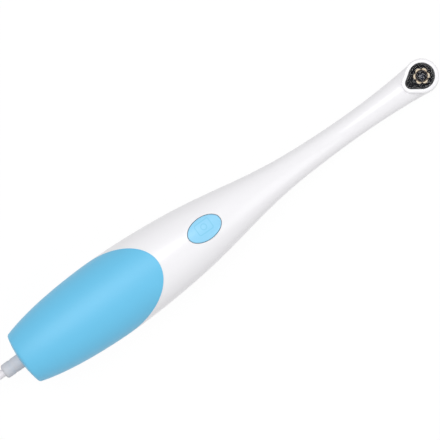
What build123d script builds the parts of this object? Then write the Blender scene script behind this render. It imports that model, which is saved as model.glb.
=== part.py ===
from build123d import *
from collections import namedtuple
from math import hypot, pi, radians, sqrt, tan
import os

os.makedirs("parts", exist_ok=True)

# Intraoral camera: a slim dental handpiece with a lens head, a shutter button and a USB lead.
# All sizes are in millimetres. X runs from the tail to the head's tip, Y across, Z up, and the
# handpiece lies on the floor z = 0 on the belly of its handle and the back of its head.

# Outside of the handpiece
BODY_LENGTH = 200.0
BELLY_HALF_HEIGHT = 14.0
HEAD_RADIUS = 7.0
HEAD_HALF_HEIGHT = 5.4
TAIL_DOME_RADIUS = 41.0
TAIL_CORNER_RADIUS = 1.3
BEND_FROM_TAIL = 90.0
BEND_LENGTH = 80.0

# Elliptical sections of the handle, with their distance from the tail, and of the neck, with
# their distance from the head's tip
Section = namedtuple("Section", "distance half_width half_height")
HANDLE_SECTIONS = (
    Section(-1.0, 10.1, 8.8),
    Section(1.5, 11.05, 9.6),
    Section(9.4, 13.1, 11.4),
    Section(17.2, 14.4, 12.5),
    Section(28.0, 15.5, 13.45),
    Section(44.6, 16.1, BELLY_HALF_HEIGHT),
    Section(64.2, 15.3, 13.3),
    Section(80.0, 13.8, 12.05),
    Section(95.6, 11.4, 10.1),
    Section(111.2, 8.5, 7.8),
    Section(126.9, 6.35, 5.95),
)
NECK_SECTIONS = (
    Section(57.4, 5.35, 5.1),
    Section(41.8, 5.0, 4.75),
    Section(26.1, 5.35, 4.95),
    Section(14.3, 6.15, 5.2),
    Section(HEAD_RADIUS, HEAD_RADIUS, HEAD_HALF_HEIGHT),
)

# Shells and the soft sleeve that is drawn over their rear end
SHELL_WALL = 1.3
NECK_WALL = 1.5
PARTING_GAP = 0.06
SLEEVE_WALL = 1.2
SLEEVE_FIT = 0.1
SLEEVE_END = 3.1
SHELL_END_WALL = 1.5
SEAM_TOP_FROM_TAIL = 66.2
SEAM_TOP_Z = 27.2
SEAM_BOTTOM_FROM_TAIL = 15.0
SEAM_BOTTOM_Z = 1.8
SEAM_BOW = 0.6
SEAM_GAP = 0.2
SEAM_OVERRUN = 0.15
SPIGOT_OVERLAP = 2.6

# Lens window: a teardrop that points at the handle, in a raised rim
WINDOW_RADIUS = 5.2
WINDOW_CORNER_RADIUS = 2.35
WINDOW_CORNER_BACK = 5.0
RIM_WIDTH = 0.95
RIM_EDGE_RADIUS = 0.7
RIM_TOP_Z = 11.6
GLASS_SET_BACK = 0.1
GLASS_THICKNESS = 1.0
GLASS_EDGE = 0.15
GLASS_GAP = 0.1
GASKET_THICKNESS = 0.2
LEDGE_WIDTH = 0.7

# Camera module in the head, built up from its circuit board
SENSOR_BOARD_Z = 2.7
SENSOR_BOARD_THICKNESS = 0.6
SENSOR_BOARD_BACK = 5.6
SENSOR_BOARD_FRONT = 3.4
SENSOR_BOARD_WIDTH = 6.0
SENSOR_BOARD_CORNER = 2.6
SENSOR_RIB_WIDTH = 4.2
SENSOR_LENGTH = 4.2
SENSOR_WIDTH = 3.8
SENSOR_THICKNESS = 0.6
HOLDER_SIDE = 6.0
HOLDER_WALL = 0.6
HOLDER_FOOT = 1.9
HOLDER_ROOF = 0.35
HOLDER_RADIUS = 2.95
FILTER_SIDE = 3.4
FILTER_THICKNESS = 0.3
LED_BOARD_Z = 9.0
LED_BOARD_THICKNESS = 0.6
LED_BOARD_GAP = 0.1
BARREL_RADIUS = 2.2
BARREL_BORE_RADIUS = 1.6
BARREL_TOP_Z = 10.2
BARREL_LIP = 0.45
BARREL_GAP = 0.05
APERTURE_RADIUS = 1.15
LENS_THICKNESS = 1.1
LENS_CROWN = 0.2
LED_COUNT = 6
LED_CIRCLE_RADIUS = 2.85
LED_LENGTH = 1.0
LED_WIDTH = 0.55
LED_HEIGHT = 0.35
LIGHT_RING_HEIGHT = 0.65
LOBE_RADIUS = 1.25
LOBE_CIRCLE_RADIUS = 2.15
LENS_GAP = 0.05

# Shutter button in the top of the handle
BUTTON_FROM_TAIL = 88.8
BUTTON_LENGTH = 14.6
BUTTON_WIDTH = 9.25
BUTTON_GAP = 0.2
BUTTON_PROUD = 0.25
BUTTON_EDGE_RADIUS = 0.4
BUTTON_WALL = 1.2
BUTTON_HOLLOW = 1.3
BUTTON_TRAVEL = 0.4
COLLAR_WALL = 1.0
COLLAR_BOTTOM_Z = 20.6
LIP_WIDTH = 0.7
LIP_THICKNESS = 0.8
STEM_RADIUS = 1.6
PLUNGER_RADIUS = 1.7
PLUNGER_GAP = 0.1
PLUNGER_HEIGHT = 1.1
PLUNGER_DEPTH = 1.2

# Main circuit board and what it carries
BOARD_FROM_TAIL = 28.0
BOARD_LENGTH = 68.0
BOARD_WIDTH = 16.0
BOARD_THICKNESS = 1.2
BOARD_TOP_Z = 14.6
BOARD_SCREW_X = (38.0, 80.0)
BOARD_SCREW_SPREAD = 6.0
SWITCH_SIDE = 6.0
SWITCH_HEIGHT = 3.5
SWITCH_CORNER = 0.5
PROCESSOR_X = 56.0
PROCESSOR_SIDE = 9.0
PROCESSOR_HEIGHT = 1.0
MEMORY_X = 45.5
MEMORY_LENGTH = 5.0
MEMORY_WIDTH = 8.0
CRYSTAL_X = 65.0
CRYSTAL_LENGTH = 3.2
CRYSTAL_WIDTH = 5.0
CHIP_HEIGHT = 0.9
CHIP_EDGE = 0.15
MEMORY_LEG_PITCH = 1.2
MEMORY_LEG_WIDTH = 0.4
MEMORY_LEG_COUNT = 4
MEMORY_LEG_LENGTH = 0.7
MEMORY_LEG_HEIGHT = 0.25
PASSIVE_LENGTH = 1.6
PASSIVE_WIDTH = 0.8
PASSIVE_HEIGHT = 0.6
PASSIVE_PITCH = 2.6
PASSIVE_COUNT = 5
PASSIVE_SPREAD = 12.4
CAPACITOR_X = 71.5
CAPACITOR_RADIUS = 2.0
CAPACITOR_HEIGHT = 4.2
HEADER_LENGTH = 4.5
HEADER_WIDTH = 9.2
HEADER_HEIGHT = 4.0
HEADER_WALL = 0.7
HEADER_GAP = 0.1
HEADER_SET_BACK = 0.5
PLUG_HOUSING_LENGTH = 5.6
FLEX_CONNECTOR_LENGTH = 3.4
FLEX_CONNECTOR_WIDTH = 8.0
FLEX_CONNECTOR_HEIGHT = 1.5
FLEX_SLOT_DEPTH = 2.6

# Ribbon between the main board and the head
FLEX_WIDTH = 5.0
FLEX_THICKNESS = 0.25
FLEX_GAP = 0.08
FLEX_RIBS_X = (20.0, 40.0, 64.0)
RIB_THICKNESS = 1.2
RIB_GAP = 0.15
FLEX_DROP_AFTER = 16.0
FLEX_DROP_BEFORE = 18.0
FLEX_STEP_BACK = 17.0
FLEX_STEP_FRONT = 9.0
FLEX_END_GAP = 0.6
FLEX_BEND_RADIUS = 60.0
FLEX_STEP_RADIUS = 8.0

# Screws
SMALL_HEAD_RADIUS = 1.4
SMALL_HEAD_HEIGHT = 0.9
SMALL_SHANK_RADIUS = 0.7
SMALL_SHANK_LENGTH = 5.0
LARGE_HEAD_RADIUS = 1.9
LARGE_HEAD_HEIGHT = 1.3
LARGE_SHANK_RADIUS = 1.0
LARGE_SHANK_LENGTH = 9.5
SCREW_GAP = 0.06
POST_RADIUS = 2.0
HOUSING_SCREW_FROM_TAIL = 9.0
HOUSING_SCREW_SPREAD = 7.2
HOUSING_POST_RADIUS = 2.6
HOUSING_HEAD_Z = 9.4

# Lead: its entry, clamp and inner end
CABLE_DIAMETER = 3.2
RELIEF_RADIUS = 3.0
RELIEF_LENGTH = 7.9
RELIEF_EDGE_RADIUS = 0.5
RELIEF_GAP = 0.1
FLANGE_RADIUS = 4.75
FLANGE_THICKNESS = 1.5
CLAMP_FROM_TAIL = 14.0
CLAMP_LENGTH = 4.0
CLAMP_WIDTH = 11.2
CLAMP_HEIGHT = 2.6
CLAMP_SCREW_SPREAD = 3.8
CLAMP_EDGE_RADIUS = 0.8
JACKET_END_FROM_TAIL = 18.0
WIRE_COUNT = 4
WIRE_DIAMETER = 0.8
WIRE_PITCH = 1.6
WIRE_STUB = 1.8
WIRE_BUNDLE = 0.5

# Free lead on the floor: the route's points, and the flat hank that the rest of it is wound into
CABLE_ROUTE = (
    (-107.9, 0.0, 14.0),
    (-119.5, 0.0, 14.0),
    (-132.5, 6.0, 8.0),
    (-146.0, 14.4, 1.6),
    (-158.5, 14.4, 1.6),
)
PLUG_ROUTE = (
    (-215.5, 14.4, 11.2),
    (-226.0, 14.4, 11.2),
    (-246.0, 8.0, 3.9),
    (-257.0, 8.0, 3.9),
)
HANK_COLUMNS = 3
HANK_ROWS = 4
HANK_FOLD_RADIUS = 8.0
HANK_RUN = 36.0
HANK_STUB = 10.5
HANK_EDGE_RADIUS = 1.5
TIE_WIDTH = 6.0
TIE_THICKNESS = 0.8
TIE_GAP = 0.15
TIE_CORNER_RADIUS = 1.4

# USB plug
OVERMOULD_LENGTH = 22.0
OVERMOULD_WIDTH = 15.6
OVERMOULD_HEIGHT = 7.8
OVERMOULD_EDGE_RADIUS = 1.6
NUB_LENGTH = 9.0
NUB_RADIUS = 3.2
NUB_END_RADIUS = 2.2
PLUG_SHELL_LENGTH = 18.75
PLUG_SHELL_WIDTH = 12.0
PLUG_SHELL_HEIGHT = 4.5
PLUG_SHELL_WALL = 0.3
PLUG_SHELL_CORNER = 0.6
LATCH_FROM_END = 5.0
LATCH_Y = 3.0
LATCH_WINDOW = 2.2
TONGUE_THICKNESS = 1.9
TONGUE_SET_BACK = 1.2
CONTACT_WIDTH = 1.0
CONTACT_LENGTH = 9.0
CONTACT_THICKNESS = 0.15
CONTACT_SET_BACK = 0.8
CONTACT_Y = (-3.5, -1.0, 1.0, 3.5)

# Places worked out from the sizes above
tail_x = -BODY_LENGTH / 2
tip_x = BODY_LENGTH / 2
head_x = tip_x - HEAD_RADIUS
handle_z = BELLY_HALF_HEIGHT
head_z = HEAD_HALF_HEIGHT
bend_start_x = tail_x + BEND_FROM_TAIL
bend_end_x = bend_start_x + BEND_LENGTH
spigot_inset = SLEEVE_WALL + SLEEVE_FIT
handle_inset = spigot_inset + SHELL_WALL
shell_end_x = tail_x + SLEEVE_END + SLEEVE_FIT
cavity_end_x = shell_end_x + SHELL_END_WALL
seam_top_x = tail_x + SEAM_TOP_FROM_TAIL
seam_bottom_x = tail_x + SEAM_BOTTOM_FROM_TAIL
reach = 2 * BELLY_HALF_HEIGHT + 2 * HEAD_RADIUS


def axis_height(x):
    """Height of the handpiece's centreline: level in the handle and the head, an S between them."""
    drop = handle_z - head_z
    half = BEND_LENGTH / 2
    radius = (half**2 + (drop / 2) ** 2) / drop
    along = x - bend_start_x
    if along <= 0:
        return handle_z
    if along <= half:
        return handle_z - radius + sqrt(radius**2 - along**2)
    if along < BEND_LENGTH:
        return head_z + radius - sqrt(radius**2 - (BEND_LENGTH - along) ** 2)
    return head_z


def no_inset(x):
    """The outside itself."""
    return 0.0


def sleeve_inset(x):
    """The soft sleeve's inner face."""
    return SLEEVE_WALL


def shell_rear_inset(x):
    """The outside of the shells where the sleeve covers them."""
    return spigot_inset


def cavity_inset(x):
    """The shells' inner face: under the sleeve's line in the handle, one wall deep in the neck."""
    thin_x = bend_start_x + BEND_LENGTH / 3
    share = min(max((x - seam_top_x) / (thin_x - seam_top_x), 0.0), 1.0)
    return handle_inset + (NECK_WALL - handle_inset) * share


def body_form(inset_at):
    """The handpiece's form, drawn in by an inset that may change along it."""
    sections = [(tail_x + s.distance, s) for s in HANDLE_SECTIONS]
    sections += [(tip_x - s.distance, s) for s in NECK_SECTIONS]
    with BuildPart() as form:
        for x, section in sections:
            plane = Plane(origin=(x, 0, axis_height(x)), x_dir=(0, 1, 0), z_dir=(1, 0, 0))
            with BuildSketch(plane):
                Ellipse(section.half_width - inset_at(x), section.half_height - inset_at(x))
        loft()
        inset = inset_at(head_x)
        head_plane = Plane(origin=(head_x, 0, head_z), x_dir=(0, 1, 0), z_dir=(1, 0, 0))
        with BuildSketch(head_plane):
            with BuildLine():
                EllipticalCenterArc(
                    (0, 0), HEAD_RADIUS - inset, HEAD_HALF_HEIGHT - inset, start_angle=90, arc_size=180
                )
                Line((0, HEAD_HALF_HEIGHT - inset), (0, inset - HEAD_HALF_HEIGHT))
            make_face()
        revolve(axis=Axis((head_x, 0, 0), (0, 0, 1)), revolution_arc=180)
    return form.part


def behind_seam(set_back):
    """All that lies behind the sleeve's slanted front edge, moved towards the tail by set_back."""
    chord = hypot(seam_top_x - seam_bottom_x, SEAM_TOP_Z - SEAM_BOTTOM_Z)
    radius = chord**2 / (8 * SEAM_BOW) + SEAM_BOW / 2
    run = (
        (seam_top_x - seam_bottom_x) * SEAM_OVERRUN,
        (SEAM_TOP_Z - SEAM_BOTTOM_Z) * SEAM_OVERRUN,
    )
    high = (seam_top_x + run[0] - set_back, SEAM_TOP_Z + run[1])
    low = (seam_bottom_x - run[0] - set_back, SEAM_BOTTOM_Z - run[1])
    with BuildPart() as region:
        with BuildSketch(Plane.XZ):
            with BuildLine():
                RadiusArc(high, low, radius)
                Polyline(low, (tail_x - reach, low[1]), (tail_x - reach, high[1]), high)
            make_face()
        extrude(amount=reach, both=True)
    return region.part


def above_parting(lift):
    """All that lies above the surface where the two shells meet, raised by lift."""
    middle = ((bend_start_x + bend_end_x) / 2, (handle_z + head_z) / 2 + lift)
    with BuildPart() as region:
        with BuildSketch(Plane.XZ):
            with BuildLine():
                rear = Line((tail_x - reach, handle_z + lift), (bend_start_x, handle_z + lift))
                upper_bend = TangentArc(rear @ 1, middle, tangent=(1, 0))
                lower_bend = TangentArc(middle, (bend_end_x, head_z + lift), tangent=upper_bend % 1)
                Polyline(
                    lower_bend @ 1,
                    (tip_x + reach, head_z + lift),
                    (tip_x + reach, reach),
                    (tail_x - reach, reach),
                    rear @ 0,
                )
            make_face()
        extrude(amount=reach, both=True)
    return region.part


def slab_ahead(x):
    """All that lies ahead of one place along the handpiece."""
    with BuildPart() as slab:
        with Locations((x, 0, 0)):
            Box(2 * BODY_LENGTH, 2 * reach, 2 * reach, align=(Align.MIN, Align.CENTER, Align.CENTER))
    return slab.part


def teardrop(bottom, top, grow):
    """A plate with the window's outline, drawn out or in by grow."""
    with BuildPart() as plate:
        with BuildSketch(Plane.XY.offset(bottom)):
            with Locations((head_x, 0)):
                Circle(WINDOW_RADIUS + grow)
            with Locations((head_x - WINDOW_CORNER_BACK, 0)):
                Circle(WINDOW_CORNER_RADIUS + grow)
            make_hull()
        extrude(amount=top - bottom)
    return plate.part


def upright(places, radius, bottom, top):
    """Round posts or holes at several places, from one height to another."""
    with BuildPart() as posts:
        with BuildSketch(Plane.XY.offset(bottom)):
            with Locations(*places):
                Circle(radius)
        extrude(amount=top - bottom)
    return posts.part


def tube(points, radii, diameter):
    """A round cord along straight runs joined by arcs."""
    with BuildPart() as cord:
        with BuildLine() as route:
            FilletPolyline(*points, radius=radii)
        with BuildSketch(Plane(route.line @ 0, z_dir=route.line % 0)):
            Circle(diameter / 2)
        sweep()
    return cord.part


def corner_radii(points):
    """The largest arcs that the runs beside each corner allow."""
    radii = []
    for before, corner, after in zip(points, points[1:], points[2:]):
        one = Vector(*corner) - Vector(*before)
        two = Vector(*after) - Vector(*corner)
        half_turn = radians(one.get_angle(two)) / 2
        radii.append(0.45 * min(one.length, two.length) / tan(half_turn))
    return radii


def keep(part, name):
    """Names a finished piece and writes it out."""
    part.label = name
    export_step(part, "parts/" + name + ".step")


# Forms that several pieces are cut from
outer_form = body_form(no_inset)
with BuildPart() as shell_outside:
    add(outer_form)
    add(behind_seam(0), mode=Mode.SUBTRACT)
    add(body_form(shell_rear_inset) & behind_seam(-SPIGOT_OVERLAP) & slab_ahead(shell_end_x))
    add(teardrop(head_z, RIM_TOP_Z, RIM_WIDTH + RIM_EDGE_RADIUS))
    rim_edges = shell_outside.edges().filter_by_position(Axis.Z, RIM_TOP_Z - 0.01, RIM_TOP_Z + 0.01)
    fillet(rim_edges, RIM_EDGE_RADIUS)
shell_cavity = body_form(cavity_inset) & slab_ahead(cavity_end_x)

# Heights and places inside the handle
button_x = tail_x + BUTTON_FROM_TAIL
button_half = (BUTTON_LENGTH / 2, BUTTON_WIDTH / 2)
button_bottom_z = COLLAR_BOTTOM_Z - LIP_THICKNESS
switch_top_z = BOARD_TOP_Z + SWITCH_HEIGHT
plunger_top_z = switch_top_z + PLUNGER_HEIGHT
board_bottom_z = BOARD_TOP_Z - BOARD_THICKNESS
board_start_x = tail_x + BOARD_FROM_TAIL
board_end_x = board_start_x + BOARD_LENGTH
board_screws = [
    (tail_x + x, side * BOARD_SCREW_SPREAD) for x in BOARD_SCREW_X for side in (-1, 1)
]
housing_screw_x = tail_x + HOUSING_SCREW_FROM_TAIL
housing_screws_at = [(housing_screw_x, side * HOUSING_SCREW_SPREAD) for side in (-1, 1)]
clamp_x = tail_x + CLAMP_FROM_TAIL
clamp_z = handle_z - PARTING_GAP / 2
clamp_screws_at = [(clamp_x, side * CLAMP_SCREW_SPREAD) for side in (-1, 1)]
relief_end_x = tail_x - RELIEF_LENGTH
cable_radius = CABLE_DIAMETER / 2

# Ribbon's route, from the connector on the main board to the sensor's board
sensor_board_top_z = SENSOR_BOARD_Z + SENSOR_BOARD_THICKNESS
flex_connector_x = board_end_x - FLEX_CONNECTOR_LENGTH
flex_start = (board_end_x - FLEX_SLOT_DEPTH, BOARD_TOP_Z + FLEX_CONNECTOR_HEIGHT / 2)
flex_end_x = head_x - HOLDER_SIDE / 2 - FLEX_END_GAP
flex_step_x = head_x - FLEX_STEP_BACK
flex_level_x = flex_step_x - FLEX_DROP_BEFORE
flex_route = (
    flex_start,
    (bend_start_x + FLEX_DROP_AFTER, flex_start[1]),
    (flex_level_x, axis_height(flex_level_x)),
    (flex_step_x, axis_height(flex_step_x)),
    (head_x - FLEX_STEP_FRONT, sensor_board_top_z + FLEX_THICKNESS / 2),
    (flex_end_x, sensor_board_top_z + FLEX_THICKNESS / 2),
)
flex_wanted_radii = (FLEX_BEND_RADIUS, FLEX_BEND_RADIUS, FLEX_STEP_RADIUS, FLEX_STEP_RADIUS)
flex_radii = [min(pair) for pair in zip(flex_wanted_radii, corner_radii(flex_route))]


def flex_height(x):
    """Height of the ribbon's middle at one place along its straight runs."""
    for (x0, z0), (x1, z1) in zip(flex_route, flex_route[1:]):
        if x0 <= x <= x1:
            return z0 + (z1 - z0) * (x - x0) / (x1 - x0)
    raise ValueError("the ribbon doesn't reach there")


# Upper shell: the handle's and neck's top, the window's rim, and the button's collar
with BuildPart() as upper_shell:
    add(shell_outside.part)
    add(shell_cavity, mode=Mode.SUBTRACT)
    with BuildSketch(Plane.XY.offset(COLLAR_BOTTOM_Z)):
        with Locations((button_x, 0)):
            Ellipse(
                button_half[0] + BUTTON_GAP + COLLAR_WALL, button_half[1] + BUTTON_GAP + COLLAR_WALL
            )
    extrude(amount=reach)
    add(upright(housing_screws_at, HOUSING_POST_RADIUS, handle_z, reach))
    add(shell_outside.part, mode=Mode.INTERSECT)
    add(above_parting(PARTING_GAP / 2), mode=Mode.INTERSECT)
    with BuildSketch(Plane.XY.offset(COLLAR_BOTTOM_Z)):
        with Locations((button_x, 0)):
            Ellipse(button_half[0] + BUTTON_GAP, button_half[1] + BUTTON_GAP)
    extrude(amount=reach, mode=Mode.SUBTRACT)
    add(
        teardrop(RIM_TOP_Z - GLASS_SET_BACK - GLASS_THICKNESS - GASKET_THICKNESS, reach, GLASS_GAP),
        mode=Mode.SUBTRACT,
    )
    add(teardrop(head_z, reach, -LEDGE_WIDTH), mode=Mode.SUBTRACT)
    shank_top_z = HOUSING_HEAD_Z + LARGE_SHANK_LENGTH
    add(
        upright(housing_screws_at, LARGE_SHANK_RADIUS + SCREW_GAP, handle_z, shank_top_z + SCREW_GAP),
        mode=Mode.SUBTRACT,
    )
    with Locations((shell_end_x, 0, handle_z)):
        Cylinder(RELIEF_RADIUS + RELIEF_GAP, 4 * SHELL_END_WALL, rotation=(0, 90, 0), mode=Mode.SUBTRACT)
keep(upper_shell.part, "upper_shell")

# Lower shell: the belly and the head's back, with posts for the boards, the clamp and the screws
with BuildPart() as lower_shell:
    add(shell_outside.part)
    add(shell_cavity, mode=Mode.SUBTRACT)
    add(upright(board_screws, POST_RADIUS, 0, board_bottom_z))
    add(upright(housing_screws_at, HOUSING_POST_RADIUS, 0, handle_z))
    with Locations((clamp_x, 0, 0)):
        Box(CLAMP_LENGTH, CLAMP_WIDTH, handle_z, align=(Align.CENTER, Align.CENTER, Align.MIN))
    for rib_x in FLEX_RIBS_X:
        with Locations((rib_x, 0, 0)):
            Box(
                RIB_THICKNESS,
                2 * HEAD_RADIUS,
                flex_height(rib_x) - FLEX_THICKNESS / 2 - FLEX_GAP - RIB_GAP,
                align=(Align.CENTER, Align.CENTER, Align.MIN),
            )
    for rib_x in (head_x - SENSOR_BOARD_BACK + RIB_THICKNESS, head_x + SENSOR_BOARD_FRONT - RIB_THICKNESS):
        with Locations((rib_x, 0, 0)):
            Box(
                RIB_THICKNESS,
                SENSOR_RIB_WIDTH,
                SENSOR_BOARD_Z,
                align=(Align.CENTER, Align.CENTER, Align.MIN),
            )
    add(shell_outside.part, mode=Mode.INTERSECT)
    add(above_parting(-PARTING_GAP / 2), mode=Mode.SUBTRACT)
    add(
        upright(board_screws, SMALL_SHANK_RADIUS + SCREW_GAP, BOARD_TOP_Z - SMALL_SHANK_LENGTH, reach),
        mode=Mode.SUBTRACT,
    )
    clamp_hole_z = clamp_z + CLAMP_HEIGHT - SMALL_SHANK_LENGTH
    add(
        upright(clamp_screws_at, SMALL_SHANK_RADIUS + SCREW_GAP, clamp_hole_z, reach),
        mode=Mode.SUBTRACT,
    )
    add(upright(housing_screws_at, LARGE_SHANK_RADIUS + SCREW_GAP, 0, reach), mode=Mode.SUBTRACT)
    add(upright(housing_screws_at, LARGE_HEAD_RADIUS + 2 * SCREW_GAP, 0, HOUSING_HEAD_Z), mode=Mode.SUBTRACT)
    with Locations((shell_end_x, 0, handle_z)):
        Cylinder(RELIEF_RADIUS + RELIEF_GAP, 4 * SHELL_END_WALL, rotation=(0, 90, 0), mode=Mode.SUBTRACT)
    with Locations((clamp_x, 0, handle_z)):
        Cylinder(cable_radius + SCREW_GAP, 2 * CLAMP_LENGTH, rotation=(0, 90, 0), mode=Mode.SUBTRACT)
keep(lower_shell.part, "lower_shell")

# Soft rear sleeve with a slanted front edge and a domed end
with BuildPart() as rear_sleeve:
    add(outer_form)
    add(behind_seam(SEAM_GAP), mode=Mode.INTERSECT)
    with Locations((tail_x + TAIL_DOME_RADIUS, 0, handle_z)):
        Sphere(TAIL_DOME_RADIUS, mode=Mode.INTERSECT)
    tail_edges = rear_sleeve.edges().filter_by_position(Axis.X, tail_x, tail_x + SLEEVE_END)
    fillet(tail_edges, TAIL_CORNER_RADIUS)
    add(body_form(sleeve_inset) & slab_ahead(tail_x + SLEEVE_END), mode=Mode.SUBTRACT)
    with Locations((tail_x, 0, handle_z)):
        Cylinder(RELIEF_RADIUS + RELIEF_GAP, 4 * SLEEVE_END, rotation=(0, 90, 0), mode=Mode.SUBTRACT)
keep(rear_sleeve.part, "rear_sleeve")

# Shutter button: a shallow cap that follows the handle's top, with a retaining lip and a stem
with BuildPart() as shutter_button:
    with BuildSketch(Plane.XY.offset(button_bottom_z)):
        with Locations((button_x, 0)):
            Ellipse(*button_half)
    extrude(amount=reach)
    add(outer_form.moved(Location((0, 0, BUTTON_PROUD))), mode=Mode.INTERSECT)
    cap_edges = shutter_button.edges().filter_by_position(
        Axis.Z, COLLAR_BOTTOM_Z, reach, (False, False)
    )
    fillet(cap_edges, BUTTON_EDGE_RADIUS)
    with BuildSketch(Plane.XY.offset(button_bottom_z)):
        with Locations((button_x, 0)):
            Ellipse(button_half[0] + LIP_WIDTH, button_half[1] + LIP_WIDTH)
    extrude(amount=LIP_THICKNESS)
    with BuildSketch(Plane.XY.offset(button_bottom_z)):
        with Locations((button_x, 0)):
            Ellipse(button_half[0] - BUTTON_WALL, button_half[1] - BUTTON_WALL)
    extrude(amount=LIP_THICKNESS + BUTTON_HOLLOW, mode=Mode.SUBTRACT)
    add(upright([(button_x, 0)], STEM_RADIUS, plunger_top_z, COLLAR_BOTTOM_Z + BUTTON_HOLLOW))
keep(shutter_button.part, "shutter_button")

# Window: gasket on the ledge and the cover glass that it seals
ledge_z = RIM_TOP_Z - GLASS_SET_BACK - GLASS_THICKNESS - GASKET_THICKNESS
glass_bottom_z = ledge_z + GASKET_THICKNESS
with BuildPart() as window_gasket:
    add(teardrop(ledge_z, glass_bottom_z, 0))
    add(teardrop(ledge_z, glass_bottom_z, -LEDGE_WIDTH), mode=Mode.SUBTRACT)
keep(window_gasket.part, "window_gasket")

with BuildPart() as cover_glass:
    add(teardrop(glass_bottom_z, glass_bottom_z + GLASS_THICKNESS, 0))
    chamfer(cover_glass.faces().sort_by(Axis.Z)[-1].edges(), GLASS_EDGE)
keep(cover_glass.part, "cover_glass")

# Image sensor on its board
with BuildPart() as sensor_board:
    with BuildSketch(Plane.XY.offset(SENSOR_BOARD_Z)):
        with Locations((head_x + (SENSOR_BOARD_FRONT - SENSOR_BOARD_BACK) / 2, 0)):
            Rectangle(SENSOR_BOARD_FRONT + SENSOR_BOARD_BACK, SENSOR_BOARD_WIDTH)
    extrude(amount=SENSOR_BOARD_THICKNESS)
    fillet(sensor_board.edges().filter_by(Axis.Z).group_by(Axis.X)[-1], SENSOR_BOARD_CORNER)
keep(sensor_board.part, "sensor_board")

with BuildPart() as image_sensor:
    with BuildSketch(Plane.XY.offset(sensor_board_top_z)):
        with Locations((head_x, 0)):
            Rectangle(SENSOR_LENGTH, SENSOR_WIDTH)
    extrude(amount=SENSOR_THICKNESS)
keep(image_sensor.part, "image_sensor")

# Lens holder: a square foot over the sensor, and a round neck that carries the light board
foot_top_z = sensor_board_top_z + HOLDER_FOOT
roof_z = foot_top_z - HOLDER_ROOF
with BuildPart() as lens_holder:
    with BuildSketch(Plane.XY.offset(sensor_board_top_z)):
        with Locations((head_x, 0)):
            RectangleRounded(HOLDER_SIDE, HOLDER_SIDE, HOLDER_WALL)
    extrude(amount=HOLDER_FOOT)
    with BuildSketch(Plane.XY.offset(foot_top_z)):
        with Locations((head_x, 0)):
            Circle(HOLDER_RADIUS)
    extrude(amount=LED_BOARD_Z - foot_top_z)
    with BuildSketch(Plane.XY.offset(sensor_board_top_z)):
        with Locations((head_x, 0)):
            Rectangle(HOLDER_SIDE - 2 * HOLDER_WALL, HOLDER_SIDE - 2 * HOLDER_WALL)
    extrude(amount=HOLDER_FOOT - HOLDER_ROOF, mode=Mode.SUBTRACT)
    with BuildSketch(Plane.XY.offset(roof_z)):
        with Locations((head_x, 0)):
            Circle(BARREL_BORE_RADIUS)
    extrude(amount=HOLDER_ROOF, mode=Mode.SUBTRACT)
    with BuildSketch(Plane.XY.offset(foot_top_z)):
        with Locations((head_x, 0)):
            Circle(BARREL_RADIUS + BARREL_GAP)
    extrude(amount=LED_BOARD_Z - foot_top_z, mode=Mode.SUBTRACT)
keep(lens_holder.part, "lens_holder")

with BuildPart() as ir_filter:
    with BuildSketch(Plane.XY.offset(roof_z - FILTER_THICKNESS)):
        with Locations((head_x, 0)):
            Rectangle(FILTER_SIDE, FILTER_SIDE)
    extrude(amount=FILTER_THICKNESS)
keep(ir_filter.part, "ir_filter")

# Lens barrel, and the two lenses and the spacer in its bore
lens_axis = Axis((head_x, 0, 0), (0, 0, 1))
lens_plane = Plane(origin=(head_x, 0, 0), x_dir=(1, 0, 0), z_dir=(0, -1, 0))
lens_radius = BARREL_BORE_RADIUS - LENS_GAP
front_lens_top_z = BARREL_TOP_Z - BARREL_LIP
rear_lens_bottom_z = foot_top_z + BARREL_LIP
with BuildPart() as lens_barrel:
    with BuildSketch(lens_plane):
        with BuildLine():
            Polyline(
                (APERTURE_RADIUS, foot_top_z),
                (BARREL_RADIUS, foot_top_z),
                (BARREL_RADIUS, BARREL_TOP_Z - GLASS_EDGE),
                (BARREL_RADIUS - GLASS_EDGE, BARREL_TOP_Z),
                (APERTURE_RADIUS + BARREL_LIP, BARREL_TOP_Z),
                (APERTURE_RADIUS, front_lens_top_z),
                (BARREL_BORE_RADIUS, front_lens_top_z),
                (BARREL_BORE_RADIUS, rear_lens_bottom_z),
                (APERTURE_RADIUS, rear_lens_bottom_z),
                close=True,
            )
        make_face()
    revolve(axis=lens_axis)
keep(lens_barrel.part, "lens_barrel")


def lens(bottom):
    """A lens element with a flat back, a flat rim and a crowned face."""
    top = bottom + LENS_THICKNESS
    rim_radius = APERTURE_RADIUS - LENS_GAP
    with BuildPart() as element:
        with BuildSketch(lens_plane):
            with BuildLine():
                Polyline(
                    (0, top + LENS_CROWN),
                    (0, bottom),
                    (lens_radius, bottom),
                    (lens_radius, top),
                    (rim_radius, top),
                )
                TangentArc((0, top + LENS_CROWN), (rim_radius, top), tangent=(1, 0))
            make_face()
        revolve(axis=lens_axis)
    return element.part


keep(lens(front_lens_top_z - LENS_THICKNESS), "front_lens")
keep(lens(rear_lens_bottom_z), "rear_lens")

with BuildPart() as lens_spacer:
    with BuildSketch(Plane.XY.offset(rear_lens_bottom_z + LENS_THICKNESS)):
        with Locations((head_x, 0)):
            Circle(lens_radius)
            Circle(APERTURE_RADIUS, mode=Mode.SUBTRACT)
    extrude(amount=front_lens_top_z - rear_lens_bottom_z - 2 * LENS_THICKNESS)
keep(lens_spacer.part, "lens_spacer")

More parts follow.
